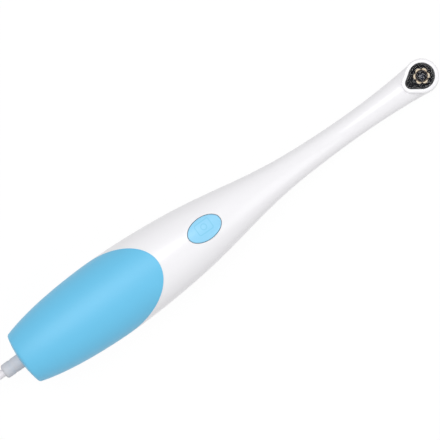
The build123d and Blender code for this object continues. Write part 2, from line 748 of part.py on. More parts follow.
# Light board round the barrel, its six lamps, and the lobed ring that spreads their light
light_board_top_z = LED_BOARD_Z + LED_BOARD_THICKNESS
with BuildPart() as led_board:
    add(teardrop(LED_BOARD_Z, light_board_top_z, -LEDGE_WIDTH - LED_BOARD_GAP))
    add(
        upright([(head_x, 0)], BARREL_RADIUS + LED_BOARD_GAP, LED_BOARD_Z, light_board_top_z),
        mode=Mode.SUBTRACT,
    )
keep(led_board.part, "led_board")

half_step = 180 / LED_COUNT
with BuildPart() as leds:
    with BuildSketch(Plane.XY.offset(light_board_top_z)):
        with Locations((head_x, 0)):
            with PolarLocations(LED_CIRCLE_RADIUS, LED_COUNT, start_angle=half_step):
                Rectangle(LED_WIDTH, LED_LENGTH)
    extrude(amount=LED_HEIGHT)
keep(leds.part, "leds")

with BuildPart() as light_ring:
    with BuildSketch(Plane.XY.offset(light_board_top_z)):
        with Locations((head_x, 0)):
            with PolarLocations(LOBE_CIRCLE_RADIUS, LED_COUNT, start_angle=half_step):
                Circle(LOBE_RADIUS)
            Circle(BARREL_RADIUS + BARREL_GAP, mode=Mode.SUBTRACT)
    extrude(amount=LIGHT_RING_HEIGHT)
    with BuildSketch(Plane.XY.offset(light_board_top_z)):
        with Locations((head_x, 0)):
            with PolarLocations(LED_CIRCLE_RADIUS, LED_COUNT, start_angle=half_step):
                Rectangle(LED_WIDTH + 2 * BARREL_GAP, LED_LENGTH + 2 * BARREL_GAP)
    extrude(amount=LED_HEIGHT, mode=Mode.SUBTRACT)
keep(light_ring.part, "light_ring")

# Ribbon that follows the neck from the main board to the sensor's board
with BuildPart() as flex_cable:
    with BuildSketch(Plane.XZ):
        with BuildLine() as flex_line:
            FilletPolyline(*flex_route, radius=flex_radii)
        trace(line_width=FLEX_THICKNESS)
    extrude(amount=FLEX_WIDTH / 2, both=True)
keep(flex_cable.part, "flex_cable")

# Main board
with BuildPart() as main_board:
    with BuildSketch(Plane.XY.offset(board_bottom_z)):
        with Locations(((board_start_x + board_end_x) / 2, 0)):
            RectangleRounded(BOARD_LENGTH, BOARD_WIDTH, BOARD_THICKNESS)
        with Locations(*board_screws):
            Circle(SMALL_SHANK_RADIUS + 2 * SCREW_GAP, mode=Mode.SUBTRACT)
    extrude(amount=BOARD_THICKNESS)
keep(main_board.part, "main_board")


def chip(x, y, length, width, height):
    """A flat component that sits on the main board."""
    with BuildPart() as body:
        with BuildSketch(Plane.XY.offset(BOARD_TOP_Z)):
            with Locations((x, y)):
                Rectangle(length, width)
        extrude(amount=height)
        chamfer(body.faces().sort_by(Axis.Z)[-1].edges(), CHIP_EDGE)
    return body.part


keep(chip(tail_x + PROCESSOR_X, 0, PROCESSOR_SIDE, PROCESSOR_SIDE, PROCESSOR_HEIGHT), "processor_chip")
keep(chip(tail_x + CRYSTAL_X, 0, CRYSTAL_LENGTH, CRYSTAL_WIDTH, CHIP_HEIGHT), "crystal")

with BuildPart() as memory_chip:
    add(chip(tail_x + MEMORY_X, 0, MEMORY_LENGTH, MEMORY_WIDTH, CHIP_HEIGHT))
    with BuildSketch(Plane.XY.offset(BOARD_TOP_Z)):
        with Locations((tail_x + MEMORY_X, 0)):
            with GridLocations(MEMORY_LEG_PITCH, 0, MEMORY_LEG_COUNT, 1):
                Rectangle(MEMORY_LEG_WIDTH, MEMORY_WIDTH + 2 * MEMORY_LEG_LENGTH)
    extrude(amount=MEMORY_LEG_HEIGHT)
keep(memory_chip.part, "memory_chip")

with BuildPart() as board_components:
    with BuildSketch(Plane.XY.offset(BOARD_TOP_Z)):
        with Locations((tail_x + PROCESSOR_X, 0)):
            with GridLocations(PASSIVE_PITCH, PASSIVE_SPREAD, PASSIVE_COUNT, 2):
                Rectangle(PASSIVE_LENGTH, PASSIVE_WIDTH)
    extrude(amount=PASSIVE_HEIGHT)
keep(board_components.part, "board_components")

with BuildPart() as supply_capacitor:
    add(upright([(tail_x + CAPACITOR_X, 0)], CAPACITOR_RADIUS, BOARD_TOP_Z, BOARD_TOP_Z + CAPACITOR_HEIGHT))
    fillet(supply_capacitor.faces().sort_by(Axis.Z)[-1].edges(), CHIP_EDGE)
keep(supply_capacitor.part, "supply_capacitor")

# Push switch under the button: its housing on the board, and the plunger that the stem rests on
with BuildPart() as tact_switch:
    with BuildSketch(Plane.XY.offset(BOARD_TOP_Z)):
        with Locations((button_x, 0)):
            RectangleRounded(SWITCH_SIDE, SWITCH_SIDE, SWITCH_CORNER)
    extrude(amount=SWITCH_HEIGHT)
    add(
        upright(
            [(button_x, 0)],
            PLUNGER_RADIUS + PLUNGER_GAP,
            switch_top_z - PLUNGER_DEPTH - BUTTON_TRAVEL - PLUNGER_GAP,
            switch_top_z,
        ),
        mode=Mode.SUBTRACT,
    )
keep(tact_switch.part, "tact_switch")
keep(
    upright([(button_x, 0)], PLUNGER_RADIUS, switch_top_z - PLUNGER_DEPTH, plunger_top_z),
    "switch_plunger",
)

# Ribbon's connector at the board's front end
with BuildPart() as flex_connector:
    with Locations((flex_connector_x, 0, BOARD_TOP_Z)):
        Box(
            FLEX_CONNECTOR_LENGTH,
            FLEX_CONNECTOR_WIDTH,
            FLEX_CONNECTOR_HEIGHT,
            align=(Align.MIN, Align.CENTER, Align.MIN),
        )
    with Locations((flex_start[0] - FLEX_GAP, 0, flex_start[1])):
        Box(
            FLEX_CONNECTOR_LENGTH,
            FLEX_WIDTH + 2 * FLEX_GAP,
            FLEX_THICKNESS + 2 * FLEX_GAP,
            align=(Align.MIN, Align.CENTER, Align.CENTER),
            mode=Mode.SUBTRACT,
        )
keep(flex_connector.part, "flex_connector")

# Lead's header on the board, and the plug on its wires
header_x = board_start_x + HEADER_SET_BACK
header_floor_z = BOARD_TOP_Z + HEADER_WALL
socket_depth = HEADER_LENGTH - HEADER_WALL
with BuildPart() as cable_header:
    with Locations((header_x, 0, BOARD_TOP_Z)):
        Box(HEADER_LENGTH, HEADER_WIDTH, HEADER_HEIGHT, align=(Align.MIN, Align.CENTER, Align.MIN))
    with Locations((header_x, 0, header_floor_z)):
        Box(
            socket_depth,
            HEADER_WIDTH - 2 * HEADER_WALL,
            HEADER_HEIGHT - 2 * HEADER_WALL,
            align=(Align.MIN, Align.CENTER, Align.MIN),
            mode=Mode.SUBTRACT,
        )
keep(cable_header.part, "cable_header")

housing_front_x = header_x + socket_depth - HEADER_GAP
housing_rear_x = housing_front_x - PLUG_HOUSING_LENGTH
housing_height = HEADER_HEIGHT - 2 * HEADER_WALL - 2 * HEADER_GAP
wires_z = header_floor_z + housing_height / 2
with BuildPart() as cable_plug_housing:
    with Locations((housing_rear_x, 0, header_floor_z)):
        Box(
            PLUG_HOUSING_LENGTH,
            HEADER_WIDTH - 2 * HEADER_WALL - 2 * HEADER_GAP,
            housing_height,
            align=(Align.MIN, Align.CENTER, Align.MIN),
        )
keep(cable_plug_housing.part, "cable_plug_housing")

# Strain relief with the flange that the shells' end wall holds, and the lead inside the handle
relief_plane = Plane(origin=(0, 0, handle_z), x_dir=(1, 0, 0), z_dir=(0, -1, 0))
jacket_end_x = tail_x + JACKET_END_FROM_TAIL
with BuildPart() as strain_relief:
    with BuildSketch(relief_plane):
        with BuildLine():
            Polyline(
                (relief_end_x, cable_radius),
                (relief_end_x, RELIEF_RADIUS),
                (cavity_end_x, RELIEF_RADIUS),
                (cavity_end_x, FLANGE_RADIUS),
                (cavity_end_x + FLANGE_THICKNESS, FLANGE_RADIUS),
                (cavity_end_x + FLANGE_THICKNESS, cable_radius),
                close=True,
            )
        make_face()
    revolve(axis=Axis((0, 0, handle_z), (1, 0, 0)))
    fillet(strain_relief.edges().group_by(Axis.X)[0].sort_by(SortBy.RADIUS)[-1], RELIEF_EDGE_RADIUS)
keep(strain_relief.part, "strain_relief")

with BuildPart() as inner_cable:
    with BuildSketch(Plane(origin=(relief_end_x, 0, handle_z), z_dir=(1, 0, 0))):
        Circle(cable_radius)
    extrude(amount=jacket_end_x - relief_end_x)
keep(inner_cable.part, "inner_cable")

wires = []
for wire in range(WIRE_COUNT):
    side = wire - (WIRE_COUNT - 1) / 2
    bundle_y = WIRE_BUNDLE if side > 0 else -WIRE_BUNDLE
    bundle_z = handle_z + (WIRE_BUNDLE if abs(side) < 1 else -WIRE_BUNDLE)
    wire_route = (
        (jacket_end_x, bundle_y, bundle_z),
        (jacket_end_x + WIRE_STUB, bundle_y, bundle_z),
        (housing_rear_x - WIRE_STUB, side * WIRE_PITCH, wires_z),
        (housing_rear_x, side * WIRE_PITCH, wires_z),
    )
    wires.append(tube(wire_route, corner_radii(wire_route), WIRE_DIAMETER))
with BuildPart() as inner_wires:
    add(wires)
keep(inner_wires.part, "inner_wires")

# Clamp over the lead, on the lower shell's block
with BuildPart() as cable_clamp:
    with Locations((clamp_x, 0, clamp_z)):
        Box(CLAMP_LENGTH, CLAMP_WIDTH, CLAMP_HEIGHT, align=(Align.CENTER, Align.CENTER, Align.MIN))
    fillet(cable_clamp.edges().filter_by(Axis.X).group_by(Axis.Z)[-1], CLAMP_EDGE_RADIUS)
    with Locations((clamp_x, 0, handle_z)):
        Cylinder(cable_radius + SCREW_GAP, 2 * CLAMP_LENGTH, rotation=(0, 90, 0), mode=Mode.SUBTRACT)
    add(
        upright(clamp_screws_at, SMALL_SHANK_RADIUS + 2 * SCREW_GAP, clamp_z, clamp_z + CLAMP_HEIGHT),
        mode=Mode.SUBTRACT,
    )
keep(cable_clamp.part, "cable_clamp")


def small_screws(places, seat_z):
    """Small pan-head screws that are driven from above."""
    with BuildPart() as screws:
        add(upright(places, SMALL_HEAD_RADIUS, seat_z, seat_z + SMALL_HEAD_HEIGHT))
        add(upright(places, SMALL_SHANK_RADIUS, seat_z - SMALL_SHANK_LENGTH, seat_z))
    return screws.part


keep(small_screws(clamp_screws_at, clamp_z + CLAMP_HEIGHT), "clamp_screws")
keep(small_screws(board_screws, BOARD_TOP_Z), "board_screws")

# Screws that draw the shells together from below, under the sleeve
with BuildPart() as housing_screws:
    add(upright(housing_screws_at, LARGE_HEAD_RADIUS, HOUSING_HEAD_Z - LARGE_HEAD_HEIGHT, HOUSING_HEAD_Z))
    add(upright(housing_screws_at, LARGE_SHANK_RADIUS, HOUSING_HEAD_Z, HOUSING_HEAD_Z + LARGE_SHANK_LENGTH))
keep(housing_screws.part, "housing_screws")

# Free lead: the stretch to the hank, the hank's outer form, its tie and the stretch to the plug
cable_radii = corner_radii(CABLE_ROUTE)
plug_radii = corner_radii(PLUG_ROUTE)
print("lead's radii", [round(r, 1) for r in cable_radii], "plug end's", [round(r, 1) for r in plug_radii])
usb_cable = tube(CABLE_ROUTE, cable_radii, CABLE_DIAMETER)
plug_lead = tube(PLUG_ROUTE, plug_radii, CABLE_DIAMETER)
keep(usb_cable, "usb_cable")
keep(plug_lead, "plug_lead")

hank_inner_radius = HANK_FOLD_RADIUS - cable_radius
hank_outer_radius = hank_inner_radius + HANK_COLUMNS * CABLE_DIAMETER
hank_height = HANK_ROWS * CABLE_DIAMETER
hank_x = CABLE_ROUTE[-1][0] - HANK_STUB - HANK_RUN / 2
hank_y = CABLE_ROUTE[-1][1] + cable_radius - hank_outer_radius
lifted_width = TIE_WIDTH + 2 * TIE_THICKNESS


def hank_form(lift):
    """The bundle's outer form, lifted off the floor by lift."""
    with BuildPart() as form:
        with BuildSketch(Plane.XY.offset(lift)):
            with Locations((hank_x, hank_y)):
                SlotCenterToCenter(HANK_RUN, 2 * hank_outer_radius)
                SlotCenterToCenter(HANK_RUN, 2 * hank_inner_radius, mode=Mode.SUBTRACT)
        extrude(amount=hank_height)
        levels = form.edges().group_by(Axis.Z)
        fillet(levels[0] + levels[-1], HANK_EDGE_RADIUS)
    return form.part


with BuildPart() as tied_stretch:
    with Locations((hank_x, hank_y, 0)):
        Box(
            lifted_width,
            2 * hank_outer_radius,
            4 * hank_height,
            align=(Align.CENTER, Align.MAX, Align.CENTER),
        )
with BuildPart() as cable_hank:
    add(hank_form(0))
    add(tied_stretch.part, mode=Mode.SUBTRACT)
    add(hank_form(TIE_THICKNESS) & tied_stretch.part)
    with BuildSketch(Plane(origin=CABLE_ROUTE[-1], z_dir=(-1, 0, 0))):
        Circle(cable_radius)
    extrude(amount=HANK_STUB)
    with BuildSketch(Plane(origin=PLUG_ROUTE[0], z_dir=(1, 0, 0))):
        Circle(cable_radius)
    extrude(amount=HANK_STUB)
keep(cable_hank.part, "cable_hank")

tie_length = hank_outer_radius - hank_inner_radius + 2 * TIE_GAP
tie_height = hank_height + TIE_GAP
tie_y = hank_y - (hank_outer_radius + hank_inner_radius) / 2
tie_plane = Plane(origin=(hank_x, tie_y, 0), x_dir=(0, 1, 0), z_dir=(1, 0, 0))
with BuildPart() as cable_tie:
    with BuildSketch(tie_plane):
        with Locations((0, TIE_THICKNESS + tie_height / 2)):
            RectangleRounded(
                tie_length + 2 * TIE_THICKNESS,
                tie_height + 2 * TIE_THICKNESS,
                TIE_CORNER_RADIUS + TIE_THICKNESS,
            )
            RectangleRounded(tie_length, tie_height, TIE_CORNER_RADIUS, mode=Mode.SUBTRACT)
    extrude(amount=TIE_WIDTH / 2, both=True)
keep(cable_tie.part, "cable_tie")

# Plug: overmould with a tapered nub, and a metal shell round a tongue with four contacts
plug_y = PLUG_ROUTE[-1][1]
plug_z = PLUG_ROUTE[-1][2]
nub_x = PLUG_ROUTE[-1][0]
overmould_start_x = nub_x - NUB_LENGTH
overmould_end_x = overmould_start_x - OVERMOULD_LENGTH
plug_end_x = overmould_end_x - PLUG_SHELL_LENGTH
with BuildPart() as plug_overmould:
    with Locations((overmould_start_x, plug_y, plug_z)):
        Box(
            OVERMOULD_LENGTH,
            OVERMOULD_WIDTH,
            OVERMOULD_HEIGHT,
            align=(Align.MAX, Align.CENTER, Align.CENTER),
        )
    fillet(plug_overmould.edges(), OVERMOULD_EDGE_RADIUS)
    with BuildSketch(Plane(origin=(0, plug_y, plug_z), x_dir=(1, 0, 0), z_dir=(0, -1, 0))):
        with BuildLine():
            Polyline(
                (nub_x, 0),
                (nub_x, NUB_END_RADIUS),
                (overmould_start_x, NUB_RADIUS),
                (overmould_start_x - OVERMOULD_EDGE_RADIUS, NUB_RADIUS),
                (overmould_start_x - OVERMOULD_EDGE_RADIUS, 0),
                close=True,
            )
        make_face()
    revolve(axis=Axis((0, plug_y, plug_z), (1, 0, 0)))
keep(plug_overmould.part, "plug_overmould")

plug_inside_width = PLUG_SHELL_WIDTH - 2 * PLUG_SHELL_WALL
plug_inside_height = PLUG_SHELL_HEIGHT - 2 * PLUG_SHELL_WALL
inside_corner = PLUG_SHELL_CORNER - PLUG_SHELL_WALL
with BuildPart() as plug_shell:
    with BuildSketch(Plane(origin=(overmould_end_x, plug_y, plug_z), x_dir=(0, 1, 0), z_dir=(-1, 0, 0))):
        RectangleRounded(PLUG_SHELL_WIDTH, PLUG_SHELL_HEIGHT, PLUG_SHELL_CORNER)
        RectangleRounded(plug_inside_width, plug_inside_height, inside_corner, mode=Mode.SUBTRACT)
    extrude(amount=PLUG_SHELL_LENGTH)
    for side in (-1, 1):
        with Locations((plug_end_x + LATCH_FROM_END, plug_y + side * LATCH_Y, plug_z)):
            Box(LATCH_WINDOW, LATCH_WINDOW, 2 * PLUG_SHELL_HEIGHT, mode=Mode.SUBTRACT)
keep(plug_shell.part, "plug_shell")

tongue_z = plug_z - plug_inside_height / 2
tongue_end_x = plug_end_x + TONGUE_SET_BACK
with BuildPart() as plug_tongue:
    with Locations((overmould_end_x, plug_y, tongue_z)):
        Box(
            overmould_end_x - tongue_end_x,
            plug_inside_width - 2 * inside_corner,
            TONGUE_THICKNESS,
            align=(Align.MAX, Align.CENTER, Align.MIN),
        )
keep(plug_tongue.part, "plug_tongue")

with BuildPart() as plug_contacts:
    contact_x = tongue_end_x + CONTACT_SET_BACK
    contact_z = tongue_z + TONGUE_THICKNESS
    with Locations(*[(contact_x, plug_y + y, contact_z) for y in CONTACT_Y]):
        Box(
            CONTACT_LENGTH,
            CONTACT_WIDTH,
            CONTACT_THICKNESS,
            align=(Align.MIN, Align.CENTER, Align.MIN),
        )
keep(plug_contacts.part, "plug_contacts")

# Volume of each drawn stretch against its section times its length
for name, stretch, route, radii in (
    ("usb_cable", usb_cable, CABLE_ROUTE, cable_radii),
    ("plug_lead", plug_lead, PLUG_ROUTE, plug_radii),
):
    expected = pi * cable_radius**2 * FilletPolyline(*route, radius=radii).length
    print(name, "volume", round(stretch.volume, 2), "expected", round(expected, 2))
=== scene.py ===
import logging
import math
from dataclasses import dataclass
from enum import Enum
from typing import Any, Iterable, Optional, Sequence, Union

import bmesh
import bpy
from mathutils import Matrix, Vector


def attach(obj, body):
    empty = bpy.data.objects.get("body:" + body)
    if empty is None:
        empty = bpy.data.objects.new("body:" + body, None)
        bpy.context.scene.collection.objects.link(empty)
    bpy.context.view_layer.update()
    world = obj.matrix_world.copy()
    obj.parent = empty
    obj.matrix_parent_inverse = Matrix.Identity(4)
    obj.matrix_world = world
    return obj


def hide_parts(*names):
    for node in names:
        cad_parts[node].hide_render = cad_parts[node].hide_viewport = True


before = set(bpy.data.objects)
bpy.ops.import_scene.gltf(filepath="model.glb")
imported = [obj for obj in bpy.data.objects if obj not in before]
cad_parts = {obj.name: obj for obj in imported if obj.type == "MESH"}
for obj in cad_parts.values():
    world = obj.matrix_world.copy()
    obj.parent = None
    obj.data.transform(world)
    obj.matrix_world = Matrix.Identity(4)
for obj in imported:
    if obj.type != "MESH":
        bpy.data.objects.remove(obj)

log = logging.getLogger("intraoral_camera")

Colour = tuple[float, float, float]
Point = tuple[float, float, float]

# The handpiece lies along X with its head at +X and its window up. All sizes and places are in millimetres,
# and MM turns them into the frame's metres.
MM = 0.001
MERGE_DISTANCE = 0.002 * MM
WHITE = (1.0, 1.0, 1.0, 1.0)
NOISE_MIDDLE = 0.5

# The colour sockets of a Mix node share their names with its number sockets, so they go by their places.
MIX_FIRST = 6
MIX_SECOND = 7
MIX_RESULT = 2


def in_metres(place: Point) -> Point:
    """Turn a place in millimetres into metres."""
    return (place[0] * MM, place[1] * MM, place[2] * MM)


def srgb(red: float, green: float, blue: float) -> Colour:
    """Turn a colour as it is seen on a screen into the renderer's own.

    Args:
        red: Red, from 0 to 255.
        green: Green, from 0 to 255.
        blue: Blue, from 0 to 255.

    Returns:
        The same colour in linear light.
    """

    def linear(channel: float) -> float:
        """Turn one channel into linear light."""
        share = channel / 255
        return share / 12.92 if share <= 0.04045 else ((share + 0.055) / 1.055) ** 2.4

    return (linear(red), linear(green), linear(blue))


class Body(Enum):
    """The rigid bodies that pieces ride on."""

    HANDPIECE = "handpiece"
    SHUTTER = "shutter"


class Value:
    """A node's output that takes part in Python expressions."""

    def __init__(self, nodes: "Nodes", socket: bpy.types.NodeSocket) -> None:
        """Wrap one output socket of a tree."""
        self.nodes = nodes
        self.socket = socket

    def apply(self, operation: str, other: "Number" = 0.0, swap: bool = False) -> "Value":
        """Add a Math node on this value.

        Args:
            operation: The node's operation.
            other: The second operand.
            swap: Whether the second operand goes first.

        Returns:
            The node's result.
        """
        pair = (other, self) if swap else (self, other)
        node = self.nodes.node("ShaderNodeMath", {"operation": operation}, {0: pair[0], 1: pair[1]})
        return self.nodes.out(node)

    def __add__(self, other: "Number") -> "Value":
        """Sum."""
        return self.apply("ADD", other)

    def __sub__(self, other: "Number") -> "Value":
        """Difference."""
        return self.apply("SUBTRACT", other)

    def __rsub__(self, other: "Number") -> "Value":
        """Difference from a number."""
        return self.apply("SUBTRACT", other, swap=True)

    def __mul__(self, other: "Number") -> "Value":
        """Product."""
        return self.apply("MULTIPLY", other)

    def __pow__(self, other: "Number") -> "Value":
        """Power."""
        return self.apply("POWER", other)

    def __abs__(self) -> "Value":
        """Size without its sign."""
        return self.apply("ABSOLUTE")

    __radd__ = __add__
    __rmul__ = __mul__

    def below(self, limit: float, soft: float) -> "Value":
        """A mask that is 1 where the value is under a limit and falls to 0 over a soft edge.

        Args:
            limit: Where the mask starts to fall.
            soft: The width over which it falls.

        Returns:
            The mask, from 0 to 1.
        """
        node = self.nodes.node(
            "ShaderNodeMapRange",
            {"interpolation_type": "SMOOTHSTEP", "clamp": True},
            {"Value": self, "From Min": limit, "From Max": limit + soft, "To Min": 1.0, "To Max": 0.0},
        )
        return self.nodes.out(node)


Number = Union[Value, float]


class Nodes:
    """The node tree of a material or of the world."""

    def __init__(self, owner: Union[bpy.types.Material, bpy.types.World]) -> None:
        """Start with an empty tree.

        Args:
            owner: The material or world that holds the tree.
        """
        owner.use_nodes = True
        self.tree = owner.node_tree
        self.tree.nodes.clear()

    def out(self, node: bpy.types.Node, output: Union[str, int] = 0) -> Value:
        """Wrap one output of a node."""
        return Value(self, node.outputs[output])

    def feed(self, socket: bpy.types.NodeSocket, value: Any) -> None:
        """Link a value to an input socket, or set the socket to a plain number or colour.

        Args:
            socket: The input socket.
            value: The value, or the number, colour or vector.
        """
        if isinstance(value, Value):
            self.tree.links.new(value.socket, socket)
        else:
            socket.default_value = value

    def node(
        self,
        kind: str,
        settings: Optional[dict[str, Any]] = None,
        inputs: Optional[dict[Union[str, int], Any]] = None,
    ) -> bpy.types.Node:
        """Add a node.

        Args:
            kind: The node's type.
            settings: Properties of the node, set first.
            inputs: Values or links of its sockets, by name or number.

        Returns:
            The new node.
        """
        node = self.tree.nodes.new(kind)
        for key, value in (settings or {}).items():
            setattr(node, key, value)
        for key, value in (inputs or {}).items():
            self.feed(node.inputs[key], value)
        return node

    def seen_plainly(self) -> Value:
        """Find the rays that see the background directly or in metal and glass.

        Returns:
            1 for those rays and 0 for the ones that carry light to the object.
        """
        path = self.node("ShaderNodeLightPath")
        total = self.out(path, "Is Camera Ray")
        for kind in ("Is Glossy Ray", "Is Transmission Ray"):
            total = total.apply("MAXIMUM", self.out(path, kind))
        return total


class Shader(Nodes):
    """A material with a Principled surface."""

    def __init__(self, name: str) -> None:
        """Start the material.

        Args:
            name: The material's name.
        """
        self.material = bpy.data.materials.new(name)
        super().__init__(self.material)
        self.surface = self.node("ShaderNodeBsdfPrincipled")
        self.node("ShaderNodeOutputMaterial", inputs={"Surface": self.out(self.surface)})
        in_mm = self.node(
            "ShaderNodeVectorMath",
            {"operation": "SCALE"},
            {0: self.out(self.node("ShaderNodeTexCoord"), "Object"), "Scale": 1 / MM},
        )
        self.place = self.out(in_mm)

    def set(self, **sockets: Any) -> None:
        """Set or link the surface's sockets, written with underscores for spaces."""
        for key, value in sockets.items():
            self.feed(self.surface.inputs[key.replace("_", " ")], value)

    def noise(self, per_mm: float, detail: float = 3.0, stretch: Point = (1.0, 1.0, 1.0)) -> Value:
        """Smooth noise over the piece.

        Args:
            per_mm: How many features there are to a millimetre.
            detail: How many finer layers it has.
            stretch: Scale of the pattern along X, Y and Z.

        Returns:
            The noise, from 0 to 1.
        """
        mapping = self.node("ShaderNodeMapping", inputs={"Vector": self.place, "Scale": stretch})
        node = self.node(
            "ShaderNodeTexNoise",
            inputs={"Vector": self.out(mapping), "Scale": per_mm, "Detail": detail},
        )
        return self.out(node)

    def coordinates(self) -> tuple[Value, Value, Value]:
        """The place on the piece in millimetres, along X, Y and Z."""
        node = self.node("ShaderNodeSeparateXYZ", inputs={0: self.place})
        return (self.out(node, 0), self.out(node, 1), self.out(node, 2))

    def blend(self, share: Number, first: Union[Value, Colour], second: Union[Value, Colour]) -> Value:
        """Mix two colours.

        Args:
            share: How much of the second colour there is.
            first: The first colour.
            second: The second colour.

        Returns:
            The mixed colour.
        """
        colours = [c if isinstance(c, Value) else (*c, 1.0) for c in (first, second)]
        node = self.node(
            "ShaderNodeMix",
            {"data_type": "RGBA"},
            {0: share, MIX_FIRST: colours[0], MIX_SECOND: colours[1]},
        )
        return self.out(node, MIX_RESULT)

    def bump(self, height: Value, depth_mm: float) -> None:
        """Raise the surface a little.

        Args:
            height: The height, from 0 to 1.
            depth_mm: How far 1 stands above 0.
        """
        node = self.node(
            "ShaderNodeBump", inputs={"Height": height, "Distance": depth_mm * MM, "Strength": 1.0}
        )
        self.set(Normal=self.out(node))


def scaled(colour: Colour, share: float) -> Colour:
    """Darken a colour to a share of itself."""
    return (colour[0] * share, colour[1] * share, colour[2] * share)


@dataclass(frozen=True)
class Finish:
    """A moulded, coated or metal surface with fine variation in colour and gloss.

    The colour falls to its shade in wide patches and in a fine grain, and the grain also raises the surface.
    """

    name: str
    colour: Colour
    roughness: float
    shade: float = 0.94
    patch_per_mm: float = 0.12
    patch_share: float = 0.7
    grain_per_mm: float = 6.0
    grain_detail: float = 2.0
    grain_mm: float = 0.004
    roughness_swing: float = 0.06
    metallic: float = 0.0
    coat: float = 0.0
    coat_roughness: float = 0.08
    sheen: float = 0.0
    specular: float = 0.5
    stretch: Point = (1.0, 1.0, 1.0)

    def paint(self, shader: Shader, colour: Value) -> Value:
        """Add what this finish draws on its colour; a plain one draws nothing."""
        return colour

    def make(self) -> bpy.types.Material:
        """Build the material.

        Returns:
            The finished material.
        """
        shader = Shader(self.name)
        patches = shader.noise(self.patch_per_mm)
        grain = shader.noise(self.grain_per_mm, self.grain_detail, self.stretch)
        tone = patches * self.patch_share + grain * (1 - self.patch_share)
        colour = shader.blend(tone, scaled(self.colour, self.shade), self.colour)
        shader.set(
            Base_Color=self.paint(shader, colour),
            Roughness=self.roughness + (patches - NOISE_MIDDLE) * self.roughness_swing,
            Metallic=self.metallic,
            Coat_Weight=self.coat,
            Coat_Roughness=self.coat_roughness,
            Sheen_Weight=self.sheen,
            Specular_IOR_Level=self.specular,
        )
        shader.bump(grain, self.grain_mm)
        return shader.material


@dataclass(frozen=True)
class ButtonFinish(Finish):
    """Light blue plastic with a faint generic camera sign on its face.

    The sign is a rounded box with a ring in it. It is drawn only above a height, so the stem stays plain.
    """

    centre: tuple[float, float] = (-11.0, 0.75)
    sign_half: tuple[float, float] = (2.5, 1.6)
    sign_corner: float = 0.7
    lens_radius: float = 1.15
    line: float = 0.16
    line_edge: float = 0.12
    above_z: float = 22.0
    ink: Colour = srgb(112, 196, 230)
    ink_strength: float = 0.55

    def paint(self, shader: Shader, colour: Value) -> Value:
        """Draw the camera's outline and lens.

        Args:
            shader: The material's tree.
            colour: The plastic's colour.

        Returns:
            The colour with the sign on it.
        """
        x, y, z = shader.coordinates()
        across = x - self.centre[0]
        along = y - self.centre[1]
        lens = (across * across + along * along) ** 0.5
        out_x = (abs(across) - self.sign_half[0]).apply("MAXIMUM", 0.0)
        out_y = (abs(along) - self.sign_half[1]).apply("MAXIMUM", 0.0)
        outside = (out_x * out_x + out_y * out_y) ** 0.5
        ring = abs(lens - self.lens_radius).below(self.line, self.line_edge)
        frame_line = abs(outside - self.sign_corner).below(self.line, self.line_edge)
        upper = z.apply("GREATER_THAN", self.above_z)
        sign = ring.apply("MAXIMUM", frame_line) * upper
        return shader.blend(sign * self.ink_strength, colour, self.ink)


@dataclass(frozen=True)
class LampFinish(Finish):
    """Six reflectors in a ring, each with a painted pale highlight, gold beside it and painted edge shade.

    Each reflector is round about a place on the lobe circle, and the painted highlights lie along a wider
    circle. The painted shade is brownish, inside the ring and round each reflector's rim.
    """

    centre: tuple[float, float] = (93.0, 0.0)
    lobes: int = 6
    lobe_circle: float = 2.15
    highlight_circle: float = 2.9
    highlight_half_width: float = 0.16
    inner_radius: float = 2.44
    outer_radius: float = 1.04
    edge: float = 0.12
    gold: Colour = srgb(178, 138, 78)
    # Colour of the painted shade at the ring's edges.
    shade_brown: Colour = srgb(66, 46, 30)

    def paint(self, shader: Shader, colour: Value) -> Value:
        """Draw painted highlights and painted edge shade on the reflectors.

        Args:
            shader: The material's tree.
            colour: The pale colour of the painted highlights.

        Returns:
            The colour, gold beside the painted highlights and brownish painted shade at the ring's edges.
        """
        x, y, _ = shader.coordinates()
        across = x - self.centre[0]
        along = y - self.centre[1]
        radius = (across * across + along * along) ** 0.5
        sector = 2 * math.pi / self.lobes
        turn = along.apply("ARCTAN2", across).apply("FLOORED_MODULO", sector) - sector / 2
        out = radius * turn.apply("COSINE") - self.lobe_circle
        beside = radius * turn.apply("SINE")
        away = (out * out + beside * beside) ** 0.5
        # Painted highlight: a pale band along the wider circle, with gold beside it.
        painted_highlight = abs(radius - self.highlight_circle).below(self.highlight_half_width, 2 * self.edge)
        lit = shader.blend(painted_highlight, self.gold, colour)
        # Painted shade: brownish inside the inner radius and outside each reflector's round edge.
        edge_shaded = shader.blend(radius.below(self.inner_radius, self.edge), lit, self.shade_brown)
        return shader.blend(away.below(self.outer_radius, self.edge), self.shade_brown, edge_shaded)


@dataclass(frozen=True)
class ClearFinish:
    """Clear glass with a faint tint and the odd smear."""

    name: str
    tint: Colour
    alpha: float
    roughness: float = 0.03
    ior: float = 1.5
    coat: float = 1.0
    coat_roughness: float = 0.02
    shade: float = 0.9
    smears_per_mm: float = 0.35
    smear_roughness: float = 0.02
    smear_alpha: float = 0.03

    def make(self) -> bpy.types.Material:
        """Build the material.

        Returns:
            The finished material.
        """
        shader = Shader(self.name)
        smear = shader.noise(self.smears_per_mm)
        shader.set(
            Base_Color=shader.blend(smear, scaled(self.tint, self.shade), self.tint),
            Roughness=self.roughness + smear * self.smear_roughness,
            Alpha=self.alpha + smear * self.smear_alpha,
            IOR=self.ior,
            Coat_Weight=self.coat,
            Coat_Roughness=self.coat_roughness,
        )
        return shader.material


